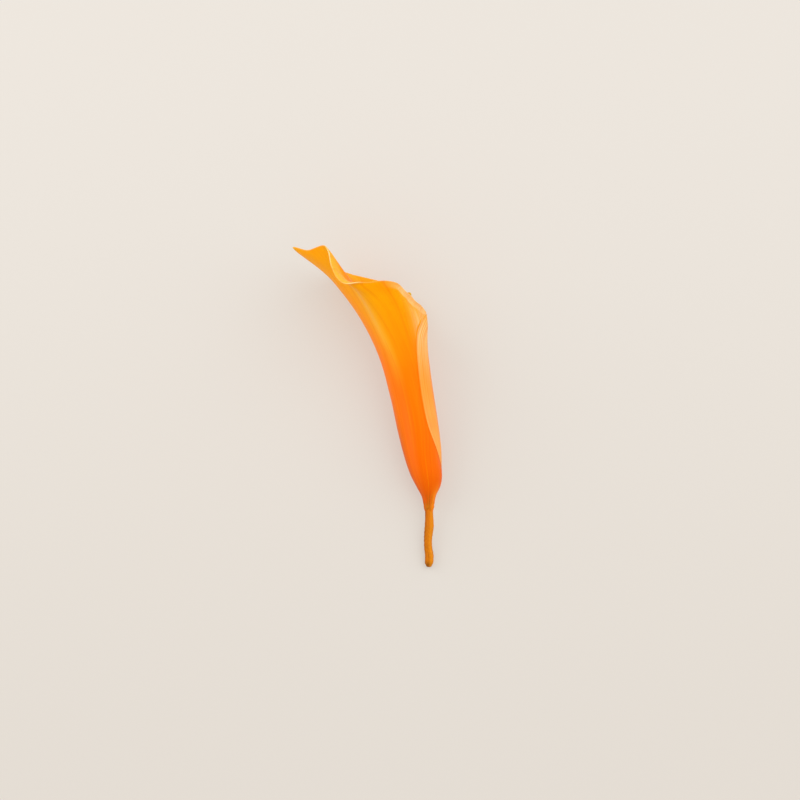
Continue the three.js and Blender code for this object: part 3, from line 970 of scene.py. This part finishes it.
    def _rolled(
        self, edge: np.ndarray, across: np.ndarray, top: np.ndarray, turn: np.ndarray
    ) -> np.ndarray:
        """Rows over the rolled margin. The flaps' ends run straight up instead.

        Args:
            edge: Highest points of the tube, one a column.
            across: Place of each column.
            top: Height of each column.
            turn: Turn of each column at its top.

        Returns:
            The rows by column, lowest first.
        """
        slip = 0.002
        ahead = self._points(np.minimum(across + slip, 1.0), top)
        behind = self._points(np.maximum(across - slip, -1.0), top)
        along = unit(ahead - behind)
        up = unit(edge - self._points(across, top - slip))
        square = np.cross(unit(np.cross(along, up)), along)
        square *= np.sign((square * up).sum(-1, keepdims=True))
        flat = np.maximum(smooth(184, 194, turn), smooth(166, 178, -turn))[:, None]
        rolled = turn_run(self.roll, turn) * (1 - flat) + np.asarray(self.flat_roll) * flat
        width, radius = rolled[:, :1], rolled[:, 1:]
        rise = unit(square * (1 - flat) + up * flat)
        out = unit(np.cross(along, rise))
        steps = np.arange(1, self.roll_rows + 1) / self.roll_rows
        bend = (steps[None, :] * width / radius)[..., None]
        turned = rise[:, None] * np.sin(bend) + out[:, None] * (1 - np.cos(bend))
        return edge[:, None] + radius[:, :, None] * turned

    def _thickness(
        self, across: np.ndarray, height: np.ndarray, margin: np.ndarray
    ) -> tuple[np.ndarray, np.ndarray]:
        """Thickness of the sheet, less at the margin, the lap's edge, the neck and the foot.

        Args:
            across: Place of each column.
            height: Share of the height at each point.
            margin: Distance of each point from the margin.

        Returns:
            The thickness, and how far each point moves so that the neck keeps its outer face.
        """
        near_edge = self._nearness(across[:, None], self._hoop(np.maximum(height, 0.0)))
        thin = np.clip(1 - margin / self.margin_width, 0, 1) ** 2
        thickness = self.sheet + (self.margin_sheet - self.sheet) * thin
        thickness = np.minimum(thickness, self.sheet + (self.flap_edge - self.sheet) * near_edge)
        slim = (self.sheet - self.neck_sheet) * (1 - smooth(0.03, 0.16, height))
        below = smooth(0.0, -self.foot_drop * self.foot_height, height)
        foot = self.sheet - slim + (self.foot_sheet - self.neck_sheet) * below
        return np.minimum(thickness, foot), 0.5 * slim * (1 - below)

    def _softened(self, grid: np.ndarray, turn: np.ndarray, height: np.ndarray) -> np.ndarray:
        """The grid with the bend beside the rolled near margin eased round the tube.

        Args:
            grid: Points by column and row.
            turn: Turn of each column.
            height: Height of each point.

        Returns:
            The eased points.
        """
        reach = self.ease_columns
        offsets = np.arange(-reach, reach + 1)
        weights = np.exp(-((offsets / (0.5 * reach)) ** 2))
        weights /= weights.sum()
        padded = np.pad(grid, ((reach, reach), (0, 0), (0, 0)), mode="edge")
        eased = sum(w * padded[k : k + len(grid)] for k, w in enumerate(weights))
        away = np.abs(turn - self.ease_turn)[:, None]
        where = smooth(self.ease_width, self.ease_width - self.ease_fade, away)
        where = where * window(self.ease_heights, height)
        return grid + (eased - grid) * where[..., None]

    def _foot(self, bottom: np.ndarray, turn: np.ndarray) -> np.ndarray:
        """Rows below the neck, where the petal runs out on the stem.

        Args:
            bottom: Lowest points of the tube, one a column.
            turn: Turn of each column.

        Returns:
            The rows by column, lowest first.
        """
        drops = np.linspace(1.0, 0.0, self.foot_rows, endpoint=False)
        centre = np.asarray(self.foot_centre)
        # the lower end is uneven, and it swells a little before it closes on the stem
        uneven = 0.22 * np.sin(np.radians(3 * turn + 40)) + 0.1 * np.sin(np.radians(7 * turn))
        reach = self.foot_drop * (1 + uneven)
        rows = []
        for share in drops:
            swell = 0.06 * float(smooth(0.0, 0.4, share)) - 0.17 * float(smooth(0.3, 1.0, share))
            moved = centre + (bottom - centre) * (1.0 + swell)
            moved[:, 0] += 0.12 * share
            moved[:, 1] -= reach * share
            rows.append(moved)
        return np.stack(rows, axis=1)

    def _relief(self, turn: np.ndarray, height: np.ndarray) -> np.ndarray:
        """Height of the relief: ruffled lip, creased tube, folds below the lip, wrinkled neck."""
        ruffle = smooth(0.9, 1.0, height) + 0.4 * smooth(0.72, 0.9, height)
        crease = self.crease[0] * np.cos(np.radians(self.crease[1] * turn))
        crease = crease * (1 - smooth(0.12, 0.3, height))
        folds = self.folds[0] * np.sin(np.radians(turn * self.folds[1]))
        folds = folds * window(self.fold_heights, height) * smooth(120, 168, np.abs(turn))
        angle = np.radians(turn * self.wrinkles[1])
        neck = self.wrinkles[0] * np.sin(angle + 1.2 * np.sin(np.radians(turn * 3.0)))
        neck = neck * (1 - smooth(0.02, 0.15, height)) * smooth(-0.02, 0.0, height)
        depth, centre, width = self.slit
        slit = depth * np.exp(-(((turn - centre) / width) ** 2)) * (1 - smooth(0.01, 0.06, height))
        return self._ruffle(turn) * ruffle + crease + folds + neck - slit

    def skin(self) -> Skin:
        """The closed sheet, thinner at its margin, pressed flat where it lies."""
        grid, thickness, values = self._grid()
        grid = self.lying.pressed(grid, self.sheet / 2)
        normals = grid_normals(grid)
        half = thickness[..., None] / 2
        columns, rows = grid.shape[:2]
        outer, inner = grid + normals * half, grid - normals * half
        index = np.arange(columns * rows).reshape(columns, rows)
        shift = columns * rows
        corners = [index[:-1, :-1], index[1:, :-1], index[1:, 1:], index[:-1, 1:]]
        quads = np.stack(corners, axis=-1).reshape(-1, 4)
        faces = [tuple(q) for q in quads.tolist()]
        faces += [tuple(q) for q in (quads[:, ::-1] + shift).tolist()]
        edge = np.concatenate([index[:-1, 0], index[-1, :-1], index[:0:-1, -1], index[0, :0:-1]])
        # a brow between the two faces rounds the edge
        out = self._edge_out(grid, edge, normals)
        brow = grid.reshape(-1, 3)[edge] + out * half.reshape(-1, 1)[edge] * 0.7
        first = 2 * shift
        for k, a in enumerate(edge.tolist()):
            b = int(edge[(k + 1) % len(edge)])
            c, d = first + k, first + (k + 1) % len(edge)
            faces.append((a, c, d, b))
            faces.append((c, a + shift, b + shift, d))
        points = np.vstack([outer.reshape(-1, 3), inner.reshape(-1, 3), brow])
        stored = {}
        for key, numbers in values.items():
            flat = np.ascontiguousarray(numbers).ravel()
            stored[key] = np.concatenate([flat, flat, flat[edge]])
        counts = {Face.OUTER: shift, Face.INNER: shift, Face.EDGE: len(edge)}
        stored["inner"] = np.repeat([face.value for face in counts], list(counts.values()))
        return Skin(points, faces, stored)

    def _edge_out(self, grid: np.ndarray, edge: np.ndarray, normals: np.ndarray) -> np.ndarray:
        """Directions that point out of the sheet at each point of its edge."""
        points, flat = grid.reshape(-1, 3)[edge], normals.reshape(-1, 3)[edge]
        run = np.roll(points, -1, axis=0) - np.roll(points, 1, axis=0)
        return unit(np.cross(run, flat))


@dataclass
class Stem:
    """The short cut stem, softly ridged and a little kinked."""

    lying: Lying
    radius: float = 1.53
    # heights of the swells along it, the ridges, the two sizes of fibre and the knots
    swell: float = 0.06
    ridge: float = 0.12
    fibres: Pair = (0.035, 0.025)
    knots: float = 0.05
    # how much slimmer it is under the petal's foot, and the share by which the cut end is worn
    foot_room: float = 0.26
    worn: float = 0.26
    sides: int = 72
    steps: int = 220
    # x and y of the axis from the neck to the cut end
    line: Rows = (
        (0.14, -3.45), (0.3, -10.2), (0.04, -13.4), (-0.2, -16.4),
        (-0.1, -19.4), (0.3, -22.4), (0.18, -26.0),
    )
    # height and radius of its top, inside the neck
    head_x: float = 0.08
    head: Rows = (
        (2.95, 0.7), (2.6, 1.25), (1.8, 1.6), (0.4, 1.3),
        (-1.5, 0.85), (-2.6, 0.65), (-3.3, 0.65),
    )
    # drop and scale of the rings that round its cut end
    cut_end: Rows = ((0.2, 0.93), (0.38, 0.8), (0.5, 0.64), (0.58, 0.42), (0.62, 0.2))
    finish: StemFinish = field(default_factory=StemFinish)

    def _radius(self, share: float, angle: np.ndarray) -> np.ndarray:
        """Radius round the axis. The counts and twists of the relief are free choices.

        Args:
            share: Place from the neck, 0, to the cut end, 1.
            angle: Angles round the axis.

        Returns:
            The radius at each angle.
        """
        swell = self.swell * self.radius * math.sin(9 * share)
        ridge = self.ridge * np.cos(4 * angle + 2.5 * share)
        fine = self.fibres[0] * np.sin(11 * angle + 5 * math.sin(3 * share))
        fine = fine + self.fibres[1] * np.sin(17 * angle - 4 * share)
        knots = self.knots * np.sin(70 * share + 2 * np.sin(angle)) * np.sin(3 * angle + 1)
        rough = float(smooth(0.05, 0.2, share))
        slim = self.foot_room * (1 - float(smooth(0.0, 0.035, share)))
        worn = 1 - self.worn * float(smooth(0.94, 1.0, share)) ** 2
        return (self.radius + swell * rough - slim + (ridge + fine + knots) * rough) * worn

    def skin(self) -> Skin:
        """The closed stem."""
        angle = 2 * math.pi * np.arange(self.sides) / self.sides
        circle = np.stack([np.cos(angle), np.zeros(self.sides), np.sin(angle)], axis=-1)
        rings = [circle * radius + (self.head_x, y, 0.0) for y, radius in self.head]
        places = [(k / self.steps, 0.0, 1.0) for k in range(self.steps + 1)]
        places += [(1.0, drop, scale) for drop, scale in self.cut_end]
        for share, drop, scale in places:
            x, y = even_run(self.line, np.asarray(share * (len(self.line) - 1)))
            radius = self._radius(share, angle) * scale
            rings.append(circle * radius[:, None] + (x, y - drop, 0.0))
        lengths = np.asarray([0.0] * len(self.head) + [place[0] for place in places])
        rings = self.lying.pressed(np.asarray(rings), 0.0)
        height = np.repeat(lengths[:, None], self.sides, axis=1)
        turn = np.broadcast_to(np.degrees(angle), height.shape)
        values = {"turn": turn[:, ::-1], "height": height, "along": -rings[..., 1]}
        return ring_skin(rings[:, ::-1], values)


@dataclass
class Spadix:
    """The finger of florets inside the tube, covered in crossing spirals."""

    lying: Lying
    radius: float = 3.1
    relief: float = 0.34
    foot: float = 3.4
    length: float = 47.5
    # share of the full radius at the foot, and heights between which the tip closes
    neck: float = 0.52
    tip: Pair = (0.55, 1.02)
    # height where it starts to lean, the height over which it leans, how far, and how suddenly
    lean: tuple[float, ...] = (3.7, 48.3, -9.3, 1.25)
    around: int = 13
    rows_of_florets: int = 46
    sides: int = 156
    steps: int = 368
    finish: FloretFinish = field(default_factory=FloretFinish)

    def skin(self) -> Skin:
        """The closed finger."""
        share = np.linspace(0.0, 1.0, self.steps + 1)[:, None]
        angle = (2 * math.pi * np.arange(self.sides) / self.sides)[None, :]
        y = self.foot + self.length * share
        start, over, reach, power = self.lean
        lean = reach * np.clip((y - start) / over, 0.0, None) ** power
        swell = self.neck + (1 - self.neck) * smooth(0, 0.2, share)
        taper = np.sqrt(np.maximum(1 - smooth(*self.tip, share) ** 2 * 0.96, 0))
        place = math.pi * self.rows_of_florets * share / 2
        spiral = self.around * angle / 2
        crown = np.abs(np.cos(place + spiral) * np.cos(place - spiral)) ** 0.55
        fade = smooth(0.02, 0.08, share) * (0.4 + 0.6 * taper)
        radius = self.radius * swell * taper + self.relief * crown * fade
        y = np.broadcast_to(y, radius.shape)
        points = np.stack([lean + radius * np.cos(angle), y, radius * np.sin(angle)], axis=-1)
        turn = np.broadcast_to(np.degrees(angle), y.shape)
        return ring_skin(self.lying.lay(points), {"turn": turn, "along": y, "crown": crown})


@dataclass(frozen=True)
class Lamp:
    """A square soft light: its side and place are in metres, its power is in watts."""

    name: str
    place: tuple[float, float, float]
    size: float
    power: float
    colour: Colour


@dataclass
class Studio:
    """Pale surface, soft light and the camera that looks down on the bloom."""

    # where the camera looks, how far it is, and the height of the view there, in metres
    target: Vector = field(default_factory=lambda: Vector((0.01247, 0.00269, 0.01237)))
    distance: float = 2.4
    view_height: float = 0.304
    sensor: float = 36.0
    tilt: float = REST_TILT
    sky: Colour = (0.93, 0.95, 1.0)
    sky_strength: float = 0.82
    lamps: tuple[Lamp, ...] = (
        Lamp("key", (0.85, 0.3, 1.15), 1.8, 11.0, (1.0, 0.98, 0.95)),
        Lamp("side", (-0.85, 0.4, 0.6), 0.9, 4.6, (1.0, 0.97, 0.94)),
    )
    surface_side: float = 4.0

    def surface(self) -> None:
        """Lays the surface, which isn't part of the object."""
        mesh = bpy.data.meshes.new("surface")
        side = self.surface_side
        corners = [(-side, -side, 0.0), (side, -side, 0.0), (side, side, 0.0), (-side, side, 0.0)]
        mesh.from_pydata(corners, [], [(0, 1, 2, 3)])
        mesh.materials.append(SurfaceFinish().material())
        floor = bpy.data.objects.new("surface", mesh)
        bpy.context.scene.collection.objects.link(floor)

    def _hang(self, lamp: Lamp) -> None:
        """Hangs a lamp that faces the bloom."""
        light = bpy.data.lights.new(lamp.name, "AREA")
        light.shape, light.size = "SQUARE", lamp.size
        light.energy, light.color = lamp.power, lamp.colour
        hung = bpy.data.objects.new(lamp.name, light)
        hung.location = lamp.place
        towards = self.target - Vector(lamp.place)
        hung.rotation_euler = towards.to_track_quat("-Z", "Y").to_euler()
        bpy.context.scene.collection.objects.link(hung)

    def lights(self) -> None:
        """Hangs the lamps and sets the even light around."""
        for lamp in self.lamps:
            self._hang(lamp)
        world = bpy.data.worlds.new("room")
        bpy.context.scene.world = world
        world.use_nodes = True
        background = world.node_tree.nodes["Background"]
        background.inputs["Color"].default_value = (*self.sky, 1.0)
        background.inputs["Strength"].default_value = self.sky_strength

    def camera(self) -> None:
        """Places the camera at the photograph's angle."""
        lens = bpy.data.cameras.new("camera")
        lens.sensor_width = self.sensor
        lens.lens = self.sensor * self.distance / self.view_height
        back = Vector((0.0, -math.sin(self.tilt), math.cos(self.tilt)))
        right = Vector((1.0, 0.0, 0.0))
        place = Matrix((right, back.cross(right), back)).transposed().to_4x4()
        place.translation = self.target + back * self.distance
        held = bpy.data.objects.new("camera", lens)
        held.matrix_world = place
        bpy.context.scene.collection.objects.link(held)
        bpy.context.scene.camera = held

    def build(self) -> None:
        """Sets up the studio."""
        self.surface()
        self.lights()
        self.camera()
        bpy.context.scene.view_settings.view_transform = "Standard"
        LOG.info("studio ready")


def main() -> None:
    """Builds the bloom and the studio in order."""
    logging.basicConfig(level=logging.INFO, format="%(name)s: %(message)s")
    lying = Lying()
    pieces = {
        ("cut_stem", "stem"): Stem(lying),
        ("floret_spadix", "spadix"): Spadix(lying),
        ("spathe_petal", "spathe"): Spathe(lying),
    }
    for (name, slot), form in pieces.items():
        form.skin().piece(name, slot, form.finish.material())
    Studio().build()


if __name__ == "__main__":
    main()
